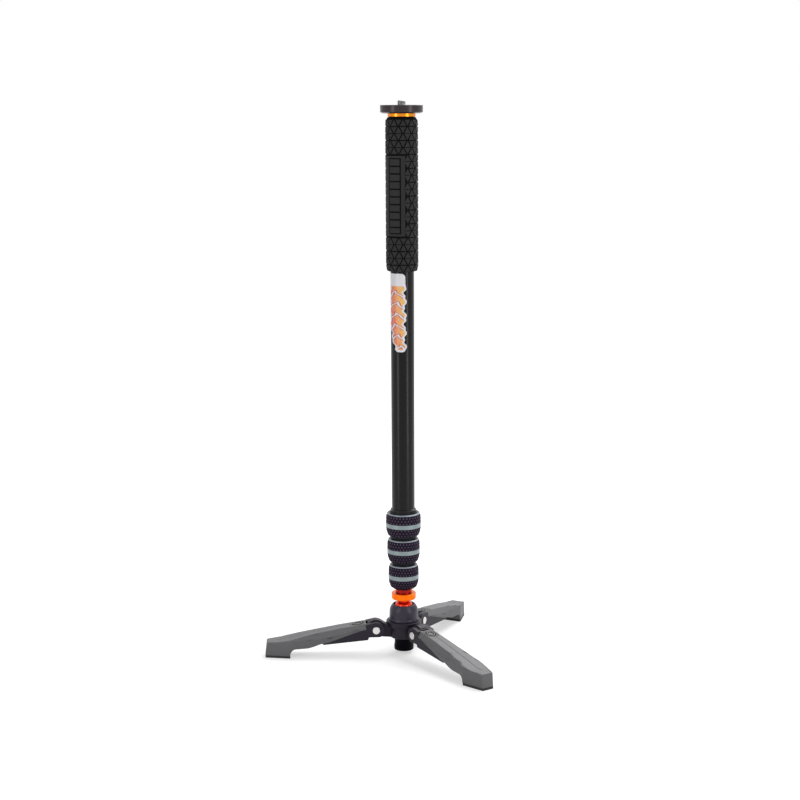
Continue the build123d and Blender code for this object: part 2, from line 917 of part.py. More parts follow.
# Grey cover with the foot at its end
with BuildPart() as leg_cover:
    for station in station_shares:
        with BuildSketch(Plane.YZ.offset(cover_distance(station[0]))):
            Polygon(*cover_section(station, 0, sole_thickness))
    loft(ruled=True)
    with BuildSketch(side_plane):
        underside = [
            (cover_distance(along), height * cover_top_height)
            for along, height in underside_shares
        ]
        with BuildLine():
            Polyline(*underside)
            TangentArc(underside[-1], (heel_distance, sole_thickness), tangent=(1, 0))
            Polyline(
                (heel_distance, sole_thickness),
                (toe_distance, sole_thickness),
                (toe_distance - toe_lean, station_shares[-1][1] * cover_top_height),
                (toe_distance - toe_lean, cover_top_height + overrun),
                (cover_start, cover_top_height + overrun),
                underside[0],
            )
        make_face()
    extrude(amount=overrun, both=True, mode=Mode.INTERSECT)
    add(core_space.part, mode=Mode.SUBTRACT)
    with BuildSketch(deck_plane(button_flange_top)):
        with Locations((button_place, 0)):
            Ellipse(
                button_half_length + loose_clearance,
                button_half_width + loose_clearance,
            )
    extrude(amount=overrun, mode=Mode.SUBTRACT)
    with BuildSketch(Plane.XY.offset(sole_thickness)):
        with Locations(*peg_places):
            Circle(sole_peg_radius)
    extrude(amount=sole_peg_height, mode=Mode.SUBTRACT)

# Black core: the fork round the tongue, and the bar under the cover
with BuildPart() as leg_core:
    slot_half_width = tongue_half_width + loose_clearance
    eye_bottom = pin_height - eye_floor
    eye_run = sqrt(eye_radius**2 - eye_floor**2)
    eye_top = lean_plane.from_local_coords((0, eye_radius, 0))
    roof_start = lean_plane.from_local_coords((slot_end, core_roof_reach, 0))
    roof_run = (core_end - pin_distance - core_roof_reach * sin(slope)) / cos(slope)
    roof_end = lean_plane.from_local_coords((roof_run, core_roof_reach, 0))
    with BuildSketch(side_plane):
        with BuildLine():
            ThreePointArc(
                (eye_top.X, eye_top.Z),
                (pin_distance - eye_radius, pin_height),
                (pin_distance - eye_run, eye_bottom),
            )
            Polyline(
                (pin_distance - eye_run, eye_bottom),
                (core_step_distance, eye_bottom),
                (core_step_distance + core_step_run, core_bottom_start),
                (core_end, core_bottom_end),
                (roof_end.X, roof_end.Z),
                (roof_start.X, roof_start.Z),
                (eye_top.X, eye_top.Z),
            )
        make_face()
    extrude(amount=overrun, both=True)
    core_end_width = core_stations[-1][4] * heel_half_width - core_side_inset
    with BuildSketch(Plane.XY):
        Polygon(
            (0, -cheek_half_width),
            (cover_start, -cheek_half_width),
            (core_end, -core_end_width),
            (core_end, core_end_width),
            (cover_start, cheek_half_width),
            (0, cheek_half_width),
        )
    extrude(amount=overrun * 2, mode=Mode.INTERSECT)
    add(leg_cover.part, mode=Mode.SUBTRACT)
    add(beside_cover.part, mode=Mode.SUBTRACT)
    with BuildSketch(lean_plane):
        Polygon(
            (-overrun, -overrun),
            (slot_end, -overrun),
            (slot_end, overrun),
            (-overrun, overrun),
        )
    extrude(amount=slot_half_width, both=True, mode=Mode.SUBTRACT)
    with BuildSketch(lean_plane):
        Polygon(
            (0, pawl_bottom - channel_clearance),
            (channel_end, pawl_bottom - channel_clearance),
            (channel_end, pawl_top + channel_clearance),
            (0, pawl_top + channel_clearance),
        )
    extrude(amount=pawl_half_width + channel_clearance, both=True, mode=Mode.SUBTRACT)
    wedge_floor = wedge_tip - button_travel - pawl_window_clearance
    with BuildSketch(lean_plane):
        Polygon(
            (wedge_back - channel_clearance, wedge_floor),
            (wedge_reach, wedge_floor),
            (wedge_reach, pawl_bottom),
            (wedge_back - channel_clearance, pawl_bottom),
        )
    extrude(amount=wedge_half_width + channel_clearance, both=True, mode=Mode.SUBTRACT)
    with BuildSketch(deck_plane(pawl_top + channel_clearance)):
        with Locations((button_place, 0)):
            Ellipse(
                button_half_length + button_flange_reach + loose_clearance,
                button_half_width + button_flange_reach + loose_clearance,
            )
    extrude(amount=overrun, mode=Mode.SUBTRACT)
    with BuildSketch(pin_plane(-overrun)):
        Circle(pin_radius)
    extrude(amount=overrun * 2, mode=Mode.SUBTRACT)
    with BuildSketch(pin_plane(cheek_half_width - pin_head_sink)):
        Circle(pin_head_radius + pin_head_clearance)
    extrude(amount=overrun, mode=Mode.SUBTRACT)
    with BuildSketch(pin_plane(pin_head_sink - cheek_half_width)):
        Circle(pin_head_radius + pin_head_clearance)
    extrude(amount=-overrun, mode=Mode.SUBTRACT)

# Rubber sole of the foot
with BuildPart() as foot_pad:
    with BuildSketch(Plane.XY) as sole:
        Polygon(
            (heel_distance, -heel_half_width),
            (toe_distance, -toe_half_width),
            (toe_distance, toe_half_width),
            (heel_distance, heel_half_width),
        )
        fillet(sole.vertices(), sole_corner)
    extrude(amount=sole_thickness)
    with BuildSketch(Plane.XY.offset(sole_thickness)):
        with Locations(*peg_places):
            Circle(sole_peg_radius)
    extrude(amount=sole_peg_height)

# Hinge pin: a shouldered screw whose head sits in one cheek
head_seat = cheek_half_width - pin_head_sink
pin_shoulder = head_seat - nut_barrel_length
with BuildPart() as hinge_pin:
    with BuildSketch(pin_plane(-pin_head_reach)):
        Circle(pin_head_radius)
    extrude(amount=pin_head_reach - head_seat)
    fillet(hinge_pin.edges().group_by(Axis.Y)[0], pin_head_edge)
    with BuildSketch(pin_plane(-head_seat)):
        Circle(pin_radius)
    extrude(amount=head_seat + pin_shoulder)
    with BuildSketch(pin_plane(pin_shoulder)):
        Circle(pin_screw_radius)
    extrude(amount=pin_screw_length)

# Barrel nut of the hinge pin, in the other cheek
with BuildPart() as hinge_nut:
    with BuildSketch(pin_plane(pin_head_reach)):
        Circle(pin_head_radius)
    extrude(amount=head_seat - pin_head_reach)
    fillet(hinge_nut.edges().group_by(Axis.Y)[-1], pin_head_edge)
    with BuildSketch(pin_plane(pin_shoulder)):
        Circle(pin_radius)
        Circle(pin_screw_radius, mode=Mode.SUBTRACT)
    extrude(amount=nut_barrel_length)

# Release button: an oval cap, the flange that keeps it in and a wedge below
with BuildPart() as release_button:
    with BuildSketch(deck_plane(button_flange_bottom)):
        with Locations((button_place, 0)):
            Ellipse(
                button_half_length + button_flange_reach,
                button_half_width + button_flange_reach,
            )
    extrude(amount=button_flange_top - button_flange_bottom - running_clearance)
    with BuildSketch(deck_plane(button_flange_bottom)):
        with Locations((button_place, 0)):
            Ellipse(button_half_length, button_half_width)
    extrude(amount=button_top - button_flange_bottom)
    chamfer(release_button.edges().group_by(Axis((0, 0, 0), lean_plane.y_dir))[-1], button_edge)
    with BuildSketch(deck_plane(button_top)):
        with Locations((button_place, 0)):
            Ellipse(
                button_half_length * button_dimple_share,
                button_half_width * button_dimple_share,
            )
    extrude(amount=-button_dimple_depth, mode=Mode.SUBTRACT)
    with BuildSketch(lean_plane):
        Polygon(
            (wedge_back, wedge_tip),
            (wedge_back + wedge_tip_width, wedge_tip),
            (wedge_reach, button_flange_bottom),
            (wedge_back, button_flange_bottom),
        )
    extrude(amount=wedge_half_width, both=True)

# Pawl that rides round the tongue's rim and stops on its shoulder
with BuildPart() as lock_pawl:
    nose_radius = rim_radius + loose_clearance
    nose_low = at_angle(nose_radius, pawl_nose_low_angle)
    nose_high = at_angle(nose_radius, pawl_nose_high_angle)
    nose_middle = at_angle(nose_radius, (pawl_nose_low_angle + pawl_nose_high_angle) / 2)
    with BuildSketch(lean_plane):
        with BuildLine():
            ThreePointArc(nose_low, nose_middle, nose_high)
            Polyline(
                nose_high,
                (pawl_nose_front, pawl_nose_top),
                (pawl_nose_back, pawl_nose_top),
                (pawl_nose_back, pawl_nose_waist),
                (pawl_neck, pawl_top),
                (pawl_end, pawl_top),
                (pawl_end, pawl_bottom),
                (nose_radius, pawl_bottom),
                nose_low,
            )
        make_face()
    extrude(amount=pawl_half_width, both=True)
    ramp_start = wedge_back + wedge_tip_width + (pawl_bottom - wedge_tip) + channel_clearance
    window_back = wedge_back - button_travel - pawl_window_clearance
    with BuildSketch(lean_plane):
        Polygon(
            (window_back, pawl_bottom),
            (ramp_start, pawl_bottom),
            (ramp_start + pawl_top - pawl_bottom, pawl_top),
            (window_back, pawl_top),
        )
    extrude(amount=wedge_half_width + channel_clearance, both=True, mode=Mode.SUBTRACT)

# Spring behind the pawl
with BuildPart() as pawl_spring:
    spring_middle = (pawl_bottom + pawl_top) / 2
    spring_plane = Plane(
        origin=lean_plane.from_local_coords((pawl_end, spring_middle, 0)),
        x_dir=lean_plane.y_dir,
        z_dir=lean_plane.x_dir,
    )
    with BuildSketch(spring_plane):
        Circle(spring_outer_radius)
        Circle(spring_inner_radius, mode=Mode.SUBTRACT)
    extrude(amount=channel_end - pawl_end)

# The same eight pieces for each leg, turned into place round the column
leg_pieces = {
    "leg_core": leg_core,
    "leg_cover": leg_cover,
    "foot_pad": foot_pad,
    "hinge_pin": hinge_pin,
    "hinge_nut": hinge_nut,
    "release_button": release_button,
    "lock_pawl": lock_pawl,
    "pawl_spring": pawl_spring,
}
for leg_name, angle in zip(leg_names, leg_angles):
    for piece_name, piece in leg_pieces.items():
        save(piece.part.rotate(Axis.Z, angle), f"{leg_name}_{piece_name}")
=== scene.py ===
# %% [markdown]
# # A camera monopod on a small folding base
#
# The object is a column of four telescoping tubes with a rubber grip under a
# round plate, three twist locks with rubber bands, an orange ball joint and
# three grey legs. Its measured solids come in as a fixed frame, and this
# lesson dresses them: it sets the camera and the lights, makes the relief that
# the solids don't carry, and gives every piece a finish of its own.

import json
from math import cos, pi, radians, sin

import bpy
from mathutils import Matrix, Vector
from mathutils.bvhtree import BVHTree


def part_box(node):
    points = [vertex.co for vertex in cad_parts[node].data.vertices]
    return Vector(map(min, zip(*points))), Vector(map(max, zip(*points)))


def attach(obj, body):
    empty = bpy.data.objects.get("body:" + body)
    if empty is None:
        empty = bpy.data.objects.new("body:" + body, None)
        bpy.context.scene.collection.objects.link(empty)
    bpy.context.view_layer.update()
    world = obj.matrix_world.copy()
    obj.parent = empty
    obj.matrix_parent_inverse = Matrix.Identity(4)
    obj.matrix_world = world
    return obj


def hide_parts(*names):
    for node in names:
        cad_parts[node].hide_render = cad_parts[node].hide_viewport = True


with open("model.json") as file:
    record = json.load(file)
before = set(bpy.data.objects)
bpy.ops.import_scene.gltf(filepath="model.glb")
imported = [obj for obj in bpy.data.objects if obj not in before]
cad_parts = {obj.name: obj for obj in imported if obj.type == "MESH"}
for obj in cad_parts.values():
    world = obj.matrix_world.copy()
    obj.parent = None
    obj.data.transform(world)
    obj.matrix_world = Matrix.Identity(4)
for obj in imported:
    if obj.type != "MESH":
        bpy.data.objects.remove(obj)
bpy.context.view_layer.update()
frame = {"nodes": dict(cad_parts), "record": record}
nodes = frame["nodes"]
leg_names = ("left", "front", "back")
locks = (1, 2, 3)
mm = 0.001
to_mm = 1000.0

# %% [markdown]
# ## The camera
#
# The photograph looks slightly down on the column from a little over two
# metres away. A long lens could be guessed by eye, but the rings, the feet and
# the plate give enough points to work the camera out, so its place and its
# three angles are written down as found.

# %% Place the camera
camera_data = bpy.data.cameras.new("camera")
camera_data.sensor_width = 36.0
camera_data.lens = 76.18
camera_place = (0, -2.0773, 0.6910)
camera = bpy.data.objects.new("camera", camera_data)
bpy.context.scene.collection.objects.link(camera)
pitch, yaw, roll = 0.1737, -0.0017, -0.0049
forward = Vector((sin(yaw) * cos(pitch), cos(yaw) * cos(pitch), -sin(pitch)))
right = Vector((cos(yaw), -sin(yaw), 0))
up = right.cross(forward)
tilted_right = right * cos(roll) + up * sin(roll)
tilted_up = up * cos(roll) - right * sin(roll)
turn = Matrix((tilted_right, tilted_up, -forward)).transposed()
camera.matrix_world = Matrix.Translation(camera_place) @ turn.to_4x4()
bpy.context.scene.camera = camera

# %% [markdown]
# ## Studio light
#
# The photograph has the flat light of a product shot: a bright white
# surrounding, a broad light from above and a strip on each side that draws a
# long pale line down the tubes. Area lamps give such soft light with few
# settings. The strips reach down to the floor, because the camera looks down
# and a tube mirrors what is lower than itself.

# %% Put up the lamps
def softbox(name, place, aim, width, height, power):
    """An oblong lamp at a place that faces an aim."""
    lamp = bpy.data.lights.new(name, "AREA")
    lamp.shape = "RECTANGLE"
    lamp.size = width
    lamp.size_y = height
    lamp.energy = power
    box = bpy.data.objects.new(name, lamp)
    bpy.context.scene.collection.objects.link(box)
    box.location = place
    box.rotation_euler = (Vector(aim) - Vector(place)).to_track_quat("-Z", "Y").to_euler()
    return box


strip_aim = (0, 0, 0.68)
strip_size = {"width": 0.18, "height": 1.3}
softbox("lamp_over", (0.60, 0.9, 1.9), (0, 0, 0.1), width=2.0, height=2.0, power=54)
softbox("strip_left", (-0.75, -0.68, 0.68), strip_aim, **strip_size, power=3.8)
softbox("strip_right", (0.75, -0.68, 0.68), strip_aim, **strip_size, power=4.6)

# %% [markdown]
# ## Writing shader maths as sums
#
# A procedural finish is arithmetic on the place of a point. One small class
# wraps a socket, so that `ring * 0.5 + 1` adds the Math nodes by itself, and
# a second one holds the material and adds any other node.

# %% A socket that can be added and multiplied
class Wire:
    """A value in a material, with the operators of a number."""

    def __init__(self, finish, socket):
        self.finish = finish
        self.socket = socket

    def maths(self, operation, *values):
        return self.finish.maths(operation, *values)

    def __add__(self, other):
        return self.maths("ADD", self, other)

    def __radd__(self, other):
        return self.maths("ADD", other, self)

    def __sub__(self, other):
        return self.maths("SUBTRACT", self, other)

    def __rsub__(self, other):
        return self.maths("SUBTRACT", other, self)

    def __mul__(self, other):
        return self.maths("MULTIPLY", self, other)

    def __truediv__(self, other):
        return self.maths("DIVIDE", self, other)

    def sine(self):
        return self.maths("SINE", self)

    def size(self):
        return self.maths("ABSOLUTE", self)

    def wrapped(self, period):
        """Repeats every period, from 0 up to it."""
        return self.maths("FLOORED_MODULO", self, period)

    def ramp(self, low, high):
        """0 below low, 1 above high and a soft slope between."""
        return self.finish.node(
            "ShaderNodeMapRange",
            {"interpolation_type": "SMOOTHSTEP"},
            {"Value": self, "From Min": low, "From Max": high},
        )

    def between(self, rise, fall):
        """1 between two soft slopes, each given by its two ends, and 0 outside."""
        return self.ramp(*rise) * (1 - self.ramp(*fall))


class Finish:
    """A material under construction, with its points in millimetres."""

    def __init__(self, name):
        self.material = bpy.data.materials.new(name)
        self.material.use_nodes = True
        self.tree = self.material.node_tree
        self.tree.nodes.clear()
        self.skin = self.tree.nodes.new("ShaderNodeBsdfPrincipled")
        self.output = self.tree.nodes.new("ShaderNodeOutputMaterial")
        self.tree.links.new(self.skin.outputs[0], self.output.inputs[0])
        self.place = self.node("ShaderNodeTexCoord", {}, {}, "Object")
        self.point = self.node(
            "ShaderNodeVectorMath", {"operation": "SCALE"}, {0: self.place, "Scale": to_mm}
        )

    def node(self, kind, settings, values, output=0):
        """Adds a node, sets it and joins its inputs."""
        made = self.tree.nodes.new(kind)
        for name, value in settings.items():
            setattr(made, name, value)
        pairs = values.items() if isinstance(values, dict) else enumerate(values)
        for key, value in pairs:
            if isinstance(value, Wire):
                self.tree.links.new(value.socket, made.inputs[key])
            else:
                made.inputs[key].default_value = value
        return Wire(self, made.outputs[output])

    def maths(self, operation, *values):
        """Adds a Math node."""
        return self.node("ShaderNodeMath", {"operation": operation}, values)

    def highest(self, *values):
        """The largest of several values."""
        top = values[0]
        for value in values[1:]:
            top = self.maths("MAXIMUM", top, value)
        return top

    def parts(self, place=None):
        """The three distances of a place, in millimetres: the point's own if none is given."""
        split = self.node("ShaderNodeSeparateXYZ", {}, {0: place or self.point})
        outputs = split.socket.node.outputs
        return [Wire(self, outputs[axis]) for axis in range(3)]

    def noise(self, scale, stretch=(1, 1, 1), detail=3.0, roughness=0.5):
        """Cloudy noise, with its scale in waves per millimetre."""
        shaped = self.node(
            "ShaderNodeVectorMath", {"operation": "MULTIPLY"}, {0: self.point, 1: stretch}
        )
        return self.node(
            "ShaderNodeTexNoise",
            {},
            {"Vector": shaped, "Scale": scale, "Detail": detail, "Roughness": roughness},
        )

    def blend(self, factor, low, high):
        """A colour between two."""
        mixed = self.tree.nodes.new("ShaderNodeMix")
        mixed.data_type = "RGBA"
        for key, value in ((0, factor), (6, low), (7, high)):
            if isinstance(value, Wire):
                self.tree.links.new(value.socket, mixed.inputs[key])
            elif key:
                mixed.inputs[key].default_value = (*value, 1)
            else:
                mixed.inputs[key].default_value = value
        return Wire(self, mixed.outputs[2])

    def relief(self, height, depth):
        """Bump of a height, whose depth is in millimetres."""
        return self.node(
            "ShaderNodeBump",
            {},
            {"Strength": 1.0, "Distance": depth / to_mm, "Height": height},
        )

    def dress(self, **sockets):
        """Sets the shader's sockets by name."""
        for name, value in sockets.items():
            name = name.replace("_", " ").title()
            if name == "Specular":
                name = "Specular IOR Level"
            if isinstance(value, Wire):
                self.tree.links.new(value.socket, self.skin.inputs[name])
            elif isinstance(value, tuple):
                self.skin.inputs[name].default_value = (*value, 1)
            else:
                self.skin.inputs[name].default_value = value
        return self.material


# %% [markdown]
# ## Floor and backdrop
#
# The shot stands on a seamless white sheet that burns out to pure white and
# keeps only a faint shadow under the feet. The floor is pale and adds a glow
# for the camera and for reflections alone. The glow is weaker near the object,
# so that the floor still darkens under the base and clips to white further out.

# %% Lay the white floor
glow_slope = (0.10, 0.65)
floor_size, floor_middle = 14, (0, 3.0, 0)
dim_sky, seen_sky = 0.27, 1.0


def studio_white(name, near_glow, far_glow, colour):
    """A pale sheet whose own glow, for the camera, grows away from the object."""
    sheet = Finish(name)
    reach = sheet.node("ShaderNodeVectorMath", {"operation": "LENGTH"}, {0: sheet.place}, "Value")
    glow = reach.ramp(*glow_slope) * (far_glow - near_glow) + near_glow
    paths = sheet.node("ShaderNodeLightPath", {}, {}, "Is Camera Ray")
    mirrored = Wire(sheet, paths.socket.node.outputs["Is Glossy Ray"])
    through = Wire(sheet, paths.socket.node.outputs["Is Transmission Ray"])
    seen = sheet.highest(paths, mirrored, through)
    light = sheet.node("ShaderNodeEmission", {}, {"Color": (1, 1, 1, 1), "Strength": seen * glow})
    both = sheet.tree.nodes.new("ShaderNodeAddShader")
    sheet.tree.links.new(sheet.skin.outputs[0], both.inputs[0])
    sheet.tree.links.new(light.socket, both.inputs[1])
    sheet.tree.links.new(both.outputs[0], sheet.output.inputs[0])
    return sheet.dress(base_color=colour, roughness=0.9, specular=0.1)


bpy.ops.object.select_all(action="DESELECT")
bpy.ops.mesh.primitive_plane_add(size=floor_size, location=floor_middle)
floor = bpy.context.object
floor.name = "studio_floor"
bpy.ops.object.transform_apply(location=True, rotation=False, scale=False)
pale_sheet = studio_white(
    "floor_white", near_glow=0.52, far_glow=0.86, colour=(0.55, 0.55, 0.55)
)
floor.data.materials.append(pale_sheet)

world = bpy.data.worlds.new("studio")
bpy.context.scene.world = world
world.use_nodes = True
sky = world.node_tree
sky.nodes.clear()
path = sky.nodes.new("ShaderNodeLightPath")
seen = path.outputs["Is Camera Ray"]
for ray in ("Is Transmission Ray", "Is Glossy Ray"):
    either = sky.nodes.new("ShaderNodeMath")
    either.operation = "MAXIMUM"
    sky.links.new(seen, either.inputs[0])
    sky.links.new(path.outputs[ray], either.inputs[1])
    seen = either.outputs[0]
level = sky.nodes.new("ShaderNodeMapRange")
level.inputs["To Min"].default_value = dim_sky
level.inputs["To Max"].default_value = seen_sky
sky.links.new(seen, level.inputs["Value"])
ground = sky.nodes.new("ShaderNodeBackground")
ground.inputs["Color"].default_value = (1, 1, 1, 1)
sky.links.new(level.outputs[0], ground.inputs["Strength"])
surround = sky.nodes.new("ShaderNodeOutputWorld")
sky.links.new(ground.outputs[0], surround.inputs[0])
bpy.context.scene.view_settings.view_transform = "Standard"

# %% [markdown]
# ## Anodised metal
#
# The tubes are drawn aluminium with a black anodised skin: dark, with a soft
# gloss and faint lines along their length. The turned pieces have fine rings
# round their axis instead. Both come from noise that is stretched, so it
# costs nothing in faces.

# %% Make the anodised finishes
line_depth = 0.012


def anodised(name, colour, lines, gloss, metal=0.0, shine=0.5):
    """Anodised aluminium with drawn lines ("along") or turned rings ("round")."""
    coat = Finish(name)
    if lines == "along":
        grain = coat.noise(1.6, (1, 1, 0.01), 4.0, 0.6)
    else:
        grain = coat.noise(2.2, (0.04, 0.04, 1), 4.0, 0.6)
    cloud = coat.noise(0.05, (1, 1, 1), 2.0)
    scuff = coat.noise(0.9, (1, 1, 0.5), 6.0, 0.7).ramp(0.62, 0.74)
    shade = tuple(value * 0.82 for value in colour)
    paler = tuple(min(value * 1.15 + 0.001, 1) for value in colour)
    tone = coat.blend(grain * 0.5 + cloud * 0.5, shade, paler)
    return coat.dress(
        base_color=tone,
        metallic=metal,
        specular=shine,
        roughness=gloss + grain * 0.10 + scuff * 0.05,
        normal=coat.relief(grain, line_depth),
    )


tube_black = anodised("tube_black", (0.0012, 0.0011, 0.0022), "along", gloss=0.20, shine=0.19)
turned_black = anodised("turned_black", (0.009, 0.008, 0.011), "round", gloss=0.24, shine=0.20)
barrel_black = anodised("barrel_black", (0.0012, 0.0005, 0.0030), "round", gloss=0.30, shine=0.04)
# The dome is the hub's black anodising, made lighter as painted light on its top.
dome_black_painted_light = anodised("dome_black_painted_light", (0.022, 0.015, 0.032), "round", gloss=0.32, shine=0.34)
# The plate is black anodising like the rest, made paler partly as a painted highlight on its
# front.
plate_black_painted_light = anodised("plate_black_painted_light", (0.034, 0.021, 0.025), "round", gloss=0.22, shine=0.28)
cast_black = anodised("hub_black", (0.015, 0.011, 0.021), "round", gloss=0.36, shine=0.22)
orange_metal = anodised("turned_orange", (0.88, 0.150, 0.006), "round", gloss=0.24, metal=1.0)
collar_metal = anodised("collar_orange", (0.80, 0.260, 0.020), "round", gloss=0.22, metal=1.0)
# The socket is the same orange metal as the ring, darkened here as painted shade from the lock's
# foot above it.
socket_metal_painted_shade = anodised("socket_orange_painted_shade", (0.26, 0.014, 0.012), "round", gloss=0.24, metal=1.0)
# The ball is the same orange metal as the ring; its darker, redder tone is painted shade under
# the ring.
ball_metal_painted_shade = anodised("ball_orange_painted_shade", (0.74, 0.050, 0.020), "round", gloss=0.20, metal=1.0)

# %% [markdown]
# ## Steel, rubber, nylon and the grey shells
#
# The pins and springs are plain steel. The soles, the bands and the grip are
# rubber, which is nearly black and scatters light softly. The leg covers are
# a hard grey moulding with a fine grain that catches light in tiny points.

# %% Make the other finishes
def steel(name, colour, gloss):
    """Plain steel with a fine grain and a few dull spots."""
    bare = Finish(name)
    grain = bare.noise(3.0, (1, 1, 1), 3.0)
    dull = bare.noise(0.35, (1, 1, 1), 5.0).ramp(0.5, 0.7)
    return bare.dress(
        base_color=bare.blend(grain, colour, tuple(min(value * 1.25, 1) for value in colour)),
        metallic=1.0,
        roughness=gloss + dull * 0.12,
        normal=bare.relief(grain, 0.01),
    )


def moulded(name, colour, gloss, grain_scale, depth, wear, shine):
    """Moulded plastic or rubber, whose fine grain is so deep in mm and pales by wear."""
    skin = Finish(name)
    grain = skin.noise(grain_scale, (1, 1, 1), 4.0, 0.65)
    cloud = skin.noise(0.06, (1, 1, 1), 3.0)
    pale = tuple(min(value * wear, 1) for value in colour)
    dark = tuple(value * 0.85 for value in colour)
    return skin.dress(
        base_color=skin.blend(grain * 0.6 + cloud * 0.4, dark, pale),
        roughness=gloss + grain * 0.12,
        specular=shine,
        normal=skin.relief(grain, depth),
    )


pin_steel = steel("pin_steel", (0.58, 0.56, 0.56), gloss=0.30)
spring_steel = steel("spring_steel", (0.45, 0.45, 0.46), gloss=0.30)

# For each: colour, gloss, waves of grain per mm, depth of grain, wear and shine.
moulds = {
    "cover_grey": ((0.106, 0.106, 0.110), 0.50, 2.6, 0.05, 1.25, 0.42),
    "core_black": ((0.015, 0.012, 0.020), 0.44, 2.0, 0.05, 1.25, 0.25),
    "sole_rubber": ((0.035, 0.030, 0.032), 0.75, 1.8, 0.08, 1.25, 0.42),
    "grip_rubber": ((0.0145, 0.0145, 0.0150), 0.60, 2.4, 0.06, 1.5, 0.22),
    # The grip's own rubber made darker: painted shade in the grooves between the pads.
    "grip_groove_shade": ((0.0040, 0.0040, 0.0042), 0.85, 2.4, 0.03, 1.2, 0.08),
    "band_rubber": ((0.0100, 0.0055, 0.0155), 0.60, 2.8, 0.05, 1.4, 0.10),
    # The bands' rubber made pale: painted light on the raised triangles.
    "band_tips_painted_light": ((0.086, 0.062, 0.100), 0.45, 2.8, 0.05, 1.6, 0.35),
    # Painted shade for the gaps round the buttons.
    "gap_painted_shade": ((0.006, 0.0055, 0.007), 0.70, 2.0, 0.02, 1.2, 0.10),
    "nylon": ((0.55, 0.55, 0.52), 0.45, 1.5, 0.02, 1.1, 0.42),
}
mould = {name: moulded(name, *values) for name, values in moulds.items()}

# %% [markdown]
# ## The camera screw's thread
#
# A standard tripod thread has sixteen turns to the inch. Its turns are finer
# than a pixel of the photograph, so they are a bump that climbs one pitch
# for each turn round the axis.

# %% Thread the camera screw
thread = Finish("screw_thread")
along_x, along_y, along_z = thread.parts()
angle = thread.maths("ARCTAN2", along_y, along_x)
thread_pitch = 25.4 / 16
crest = ((along_z / thread_pitch - angle / (2 * pi)).wrapped(1.0) - 0.5).size() * 2
screw_steel = thread.dress(
    # The thread's roots are darker than its crests: painted shade.
    base_color=thread.blend(crest, (0.16, 0.16, 0.17), (0.34, 0.34, 0.35)),
    metallic=1.0,
    roughness=0.42,
    normal=thread.relief(crest, 0.3),
)

# %% [markdown]
# ## The metal of the locks
#
# Each lock's nut shows as a pale slate band between the rubber ones and as a
# thin line at its head. Its foot is in the shade of the band and looks nearly
# black on the lowest lock, and its inside is dark. The heights come from the
# rubber's solid, so one function makes the finish of all three.

# %% Make the nuts' finish
upper_rubber, lower_rubber = 11.0, 10.5
slate_overlap = 0.1


def nut_slate(lock, band_low, band_high, foot_colour):
    """Slate metal that is pale between two heights, in millimetres, and at the head."""
    coat = Finish(f"nut_slate_{lock}")
    flat_x, flat_y, height = coat.parts()
    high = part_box(f"lock_{lock}_nut")[1] * to_mm
    grain = coat.noise(2.2, (0.04, 0.04, 1), 4.0, 0.6)
    radius = coat.maths("SQRT", flat_x * flat_x + flat_y * flat_y)
    above = height.ramp(band_low - 0.2, band_low + 0.2)
    below = 1 - height.ramp(band_high - 0.2, band_high + 0.2)
    crown = height.ramp(high.z - 2.0, high.z - 1.6)
    outside = radius.ramp(high.x - 3.2, high.x - 2.9)
    pale = coat.blend(grain, (0.17, 0.215, 0.225), (0.25, 0.30, 0.31))
    tone = coat.blend(above * below, foot_colour, pale)
    tone = coat.blend(crown * outside, tone, (0.20, 0.23, 0.26))
    tone = coat.blend((1 - outside) * crown, tone, (0.010, 0.009, 0.012))
    return coat.dress(
        base_color=tone,
        metallic=0.55,
        roughness=grain * 0.10 + 0.30,
        normal=coat.relief(grain, line_depth),
    )


foot_colours = {1: (0.085, 0.095, 0.105), 2: (0.070, 0.078, 0.088), 3: (0.022, 0.022, 0.026)}
nut_finish = {}
for lock in locks:
    rubber_low, rubber_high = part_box(f"lock_{lock}_grip")
    slate_low = rubber_low.z * to_mm + lower_rubber - slate_overlap
    slate_high = rubber_high.z * to_mm - upper_rubber + slate_overlap
    nut_finish[lock] = nut_slate(lock, slate_low, slate_high, foot_colours[lock])
print("nut finishes:", len(nut_finish))

# %% Dress the solids that stay
def dress(node, material):
    """Gives a solid one material."""
    mesh = nodes[node].data
    mesh.materials.clear()
    mesh.materials.append(material)


by_slot = {
    "anodised_black": turned_black,
    "anodised_orange": orange_metal,
    "anodised_slate": nut_finish[1],
    "grip_rubber": mould["grip_rubber"],
    "band_rubber": mould["band_rubber"],
    "leg_grey": mould["cover_grey"],
    "core_black": mould["core_black"],
    "steel": pin_steel,
    "sole_rubber": mould["sole_rubber"],
    "nylon": mould["nylon"],
    "spring_steel": spring_steel,
}
for entry in frame["record"]["subparts"]:
    dress(entry["node"], by_slot[entry["material_slot"]])
for number in range(1, 5):
    dress(f"tube_{number}", tube_black)
for lock in locks:
    dress(f"lock_{lock}_nut", nut_finish[lock])
dress("base_hub", cast_black)
dress("tilt_collar", dome_black_painted_light)
for name in ("base_barrel", "barrel_cap"):
    dress(name, barrel_black)
dress("top_plate", plate_black_painted_light)
dress("plate_collar", collar_metal)
dress("foot_socket", socket_metal_painted_shade)
dress("tilt_ball", ball_metal_painted_shade)
dress("camera_screw", screw_steel)

# %% [markdown]
# ## Rolling a flat pattern round the column
#
# The grip and the bands carry rows of small triangles. It is far easier to
# model one triangle lying flat, repeat it in rows, and then roll the whole
# sheet round the column: the distance across becomes an angle, and the height
# off the sheet becomes a radius.

# %% Helpers for flat patterns
def select_only(piece):
    """Makes one object the only selected and active one."""
    bpy.ops.object.select_all(action="DESELECT")
    piece.select_set(True)
    bpy.context.view_layer.objects.active = piece


